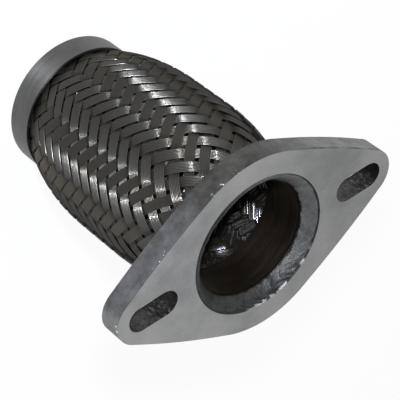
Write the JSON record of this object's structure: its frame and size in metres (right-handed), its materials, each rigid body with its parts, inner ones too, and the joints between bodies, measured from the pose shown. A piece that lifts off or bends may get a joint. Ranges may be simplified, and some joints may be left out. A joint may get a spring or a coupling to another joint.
{
  "type": "exhaust flex pipe",
  "caption": "Braided exhaust flex pipe with inner bellows, clamped end collars and a slotted oval flange welded to its front end.",
  "frame": {"origin": "centre of the rear end face, on the surface that the pipe stands on", "axes": "+Z along the pipe axis, from the rear end up to the flange face; X along the line of the two bolt slots"},
  "size_m": [0.1298, 0.078, 0.12],
  "materials": {
    "flange_steel": "dull zinc-grey plate with light scratches",
    "weld_bead": "rough weld metal",
    "collar_steel": "satin rolled steel",
    "braid_wire": "bright drawn stainless wire",
    "bellows_steel": "formed stainless sheet",
    "inner_wire": "drawn stainless wire",
    "sleeve_steel": "dull rolled steel"
  },
  "bodies": {
    "root": {"mounting_flange": "flange_steel", "flange_weld": "weld_bead", "front_collar": "collar_steel", "rear_collar": "collar_steel", "outer_braid": "braid_wire", "bellows": "bellows_steel", "inner_braid": "inner_wire", "front_sleeve": "sleeve_steel", "rear_sleeve": "sleeve_steel"}
  },
  "joints": []
}
